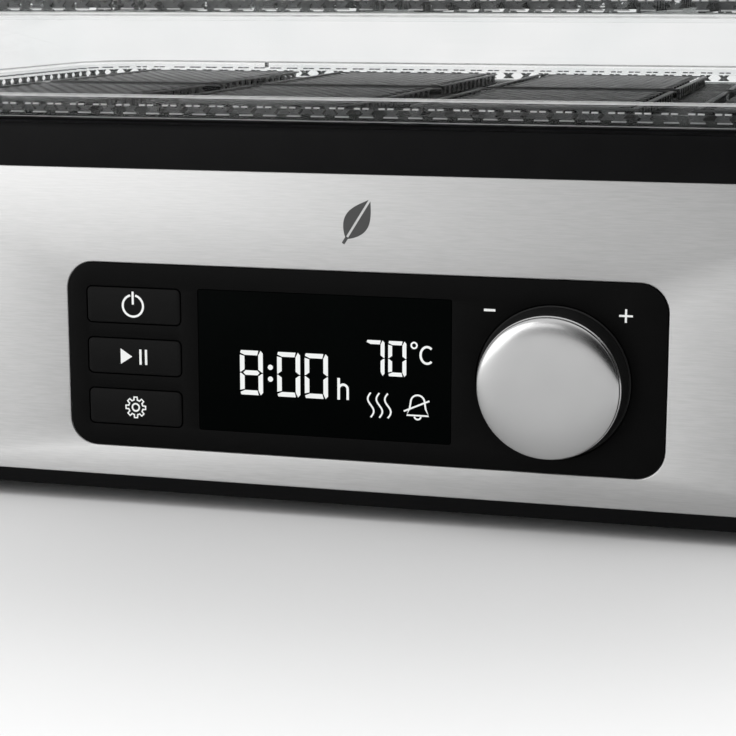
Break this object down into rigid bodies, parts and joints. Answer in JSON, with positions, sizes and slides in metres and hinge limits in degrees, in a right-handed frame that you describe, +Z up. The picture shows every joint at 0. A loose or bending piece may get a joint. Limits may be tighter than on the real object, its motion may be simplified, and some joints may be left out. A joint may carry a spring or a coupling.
{
  "type": "food dehydrator",
  "caption": "Food dehydrator: brushed-steel heated fan base with a digital panel and turning knob, under a stack of clear plastic drying trays and a vented lid.",
  "frame": {"origin": "on the surface it stands on, under the middle of the base", "axes": "+X to the right seen from the front, -Y towards the user at the control panel, +Z up"},
  "size_m": [0.333, 0.2552, 0.2626],
  "materials": {
    "rubber": "matte moulded",
    "black_plastic": "satin black moulding",
    "panel_black": "smooth satin black",
    "button_black": "smooth satin black",
    "display_black": "gloss black window",
    "brushed_steel": "fine horizontal brushing",
    "knob_metal": "satin face with a polished rim",
    "clear_plastic": "clear food-grade plastic",
    "zinc_steel": "zinc plated",
    "motor_steel": "laminations and end caps",
    "circuit_board": "solder mask",
    "grey_plastic": "moulded",
    "coil_tape": "wound transformer tape",
    "relay_blue": "moulded",
    "terminal_green": "moulded",
    "mica": "layered mica",
    "heater_wire": "oxidised resistance wire",
    "ceramic_white": "ceramic"
  },
  "bodies": {
    "base": {"rubber_feet": "rubber", "bottom_pan": "black_plastic", "steel_band": "brushed_steel", "top_deck": "black_plastic", "outlet_grille": "black_plastic", "control_fascia": "panel_black", "display_window": "display_black", "lcd_module": "grey_plastic", "display_board": "circuit_board", "tact_switches": "grey_plastic", "encoder_body": "zinc_steel", "power_board": "circuit_board", "transformer": "coil_tape", "relay": "relay_blue", "filter_capacitor": "grey_plastic", "terminal_block": "terminal_green", "ribbon_cable": "grey_plastic", "air_duct": "zinc_steel", "motor_bracket": "zinc_steel", "fan_motor": "motor_steel", "heater_frame": "mica", "heater_coil": "heater_wire", "thermal_cutout": "ceramic_white", "temp_sensor": "zinc_steel", "cable_gland": "rubber", "case_screws": "zinc_steel", "duct_screws": "zinc_steel", "board_screws": "zinc_steel", "power_board_screws": "zinc_steel", "motor_screws": "zinc_steel", "bracket_screws": "zinc_steel"},
    "power_button": {"power_button": "button_black"},
    "start_button": {"start_button": "button_black"},
    "set_button": {"set_button": "button_black"},
    "knob": {"encoder_shaft": "zinc_steel", "knob_skirt": "button_black", "knob_cap": "knob_metal"},
    "fan": {"motor_shaft": "zinc_steel", "fan_impeller": "black_plastic"},
    "tray_1": {"tray_1": "clear_plastic"},
    "tray_2": {"tray_2": "clear_plastic"},
    "tray_3": {"tray_3": "clear_plastic"},
    "tray_4": {"tray_4": "clear_plastic"},
    "tray_5": {"tray_5": "clear_plastic"},
    "lid": {"lid": "clear_plastic", "lid_vent": "black_plastic", "lid_grip": "black_plastic", "grip_screws": "zinc_steel"}
  },
  "joints": [
    {"name": "knob_turn", "type": "hinge", "parent": "base", "child": "knob", "pos_m": [0.04985, -0.118, 0.0385], "axis": [0, 1, 0], "continuous": true},
    {"name": "power_press", "type": "slide", "parent": "base", "child": "power_button", "axis": [0, 1, 0], "range_m": [0, 0.0005], "stiffness_N_per_m": 1500},
    {"name": "start_press", "type": "slide", "parent": "base", "child": "start_button", "axis": [0, 1, 0], "range_m": [0, 0.0005], "stiffness_N_per_m": 1500},
    {"name": "set_press", "type": "slide", "parent": "base", "child": "set_button", "axis": [0, 1, 0], "range_m": [0, 0.0005], "stiffness_N_per_m": 1500},
    {"name": "fan_spin", "type": "hinge", "parent": "base", "child": "fan", "pos_m": [0, 0, 0.05], "axis": [0, 0, 1], "continuous": true},
    {"name": "tray_1_lift", "type": "slide", "parent": "base", "child": "tray_1", "axis": [0, 0, 1], "range_m": [0, 0.04]},
    {"name": "tray_2_lift", "type": "slide", "parent": "tray_1", "child": "tray_2", "axis": [0, 0, 1], "range_m": [0, 0.04]},
    {"name": "tray_3_lift", "type": "slide", "parent": "tray_2", "child": "tray_3", "axis": [0, 0, 1], "range_m": [0, 0.04]},
    {"name": "tray_4_lift", "type": "slide", "parent": "tray_3", "child": "tray_4", "axis": [0, 0, 1], "range_m": [0, 0.04]},
    {"name": "tray_5_lift", "type": "slide", "parent": "tray_4", "child": "tray_5", "axis": [0, 0, 1], "range_m": [0, 0.04]},
    {"name": "lid_lift", "type": "slide", "parent": "tray_5", "child": "lid", "axis": [0, 0, 1], "range_m": [0, 0.04]}
  ]
}
